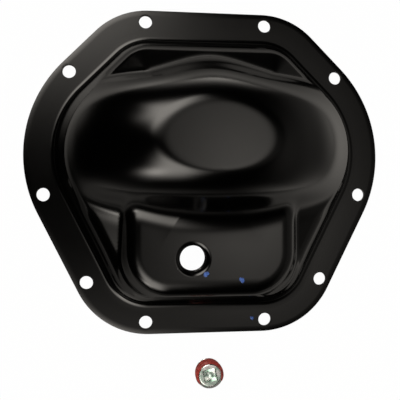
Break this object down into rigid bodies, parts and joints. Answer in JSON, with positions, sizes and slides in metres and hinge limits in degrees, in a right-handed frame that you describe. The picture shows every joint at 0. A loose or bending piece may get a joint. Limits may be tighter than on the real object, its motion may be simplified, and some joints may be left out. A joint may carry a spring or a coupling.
{
  "type": "differential cover",
  "caption": "Bolt-on stamped steel cover for a drive axle's gear housing, bulged over the gears, with a threaded fill hole and its pipe plug.",
  "frame": {"origin": "middle of the footprint of the cover and the plug beside it, on the plane they lie on, which is the cover's gasket face", "axes": "+Z away from the axle, out of the bulge; +Y up the cover as it is bolted on; +X to the right of someone looking at its outside"},
  "size_m": [0.2838, 0.2982, 0.078],
  "materials": {
    "cover_paint": "black satin-gloss paint on stamped steel",
    "plug_steel": "bright zinc plating with red sealant on the thread"
  },
  "bodies": {
    "root": {"cover_pressing": "cover_paint", "fill_plug": "plug_steel"}
  },
  "joints": []
}
